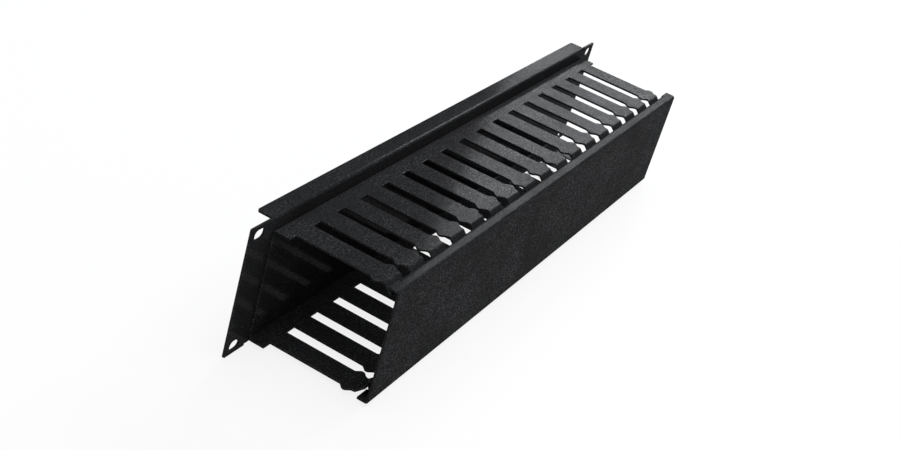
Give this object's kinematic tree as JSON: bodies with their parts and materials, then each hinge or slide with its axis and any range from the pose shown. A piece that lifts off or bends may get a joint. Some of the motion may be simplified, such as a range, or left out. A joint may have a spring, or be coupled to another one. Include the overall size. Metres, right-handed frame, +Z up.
{
  "type": "horizontal cable manager",
  "caption": "Folded steel cable manager for a rack: a slotted panel, a channel with two rows of fingers that hold cables, and a push-on front cover.",
  "frame": {"origin": "centre of the rack panel's back face, which seats on the rack's rails, midway between the four ear slots", "axes": "+X along the width, to the right seen from the front; +Z up; -Y out of the front of the rack, towards the cover"},
  "size_m": [0.4826, 0.0958, 0.0882],
  "materials": {
    "black_powder_coat": "fine-textured semi-gloss black powder coat"
  },
  "bodies": {
    "frame": {"rack_panel": "black_powder_coat", "finger_channel": "black_powder_coat"},
    "cover": {"front_cover": "black_powder_coat"}
  },
  "joints": [
    {"name": "cover_pull", "type": "slide", "parent": "frame", "child": "cover", "axis": [0, -1, 0], "range_m": [0, 0.1]}
  ]
}
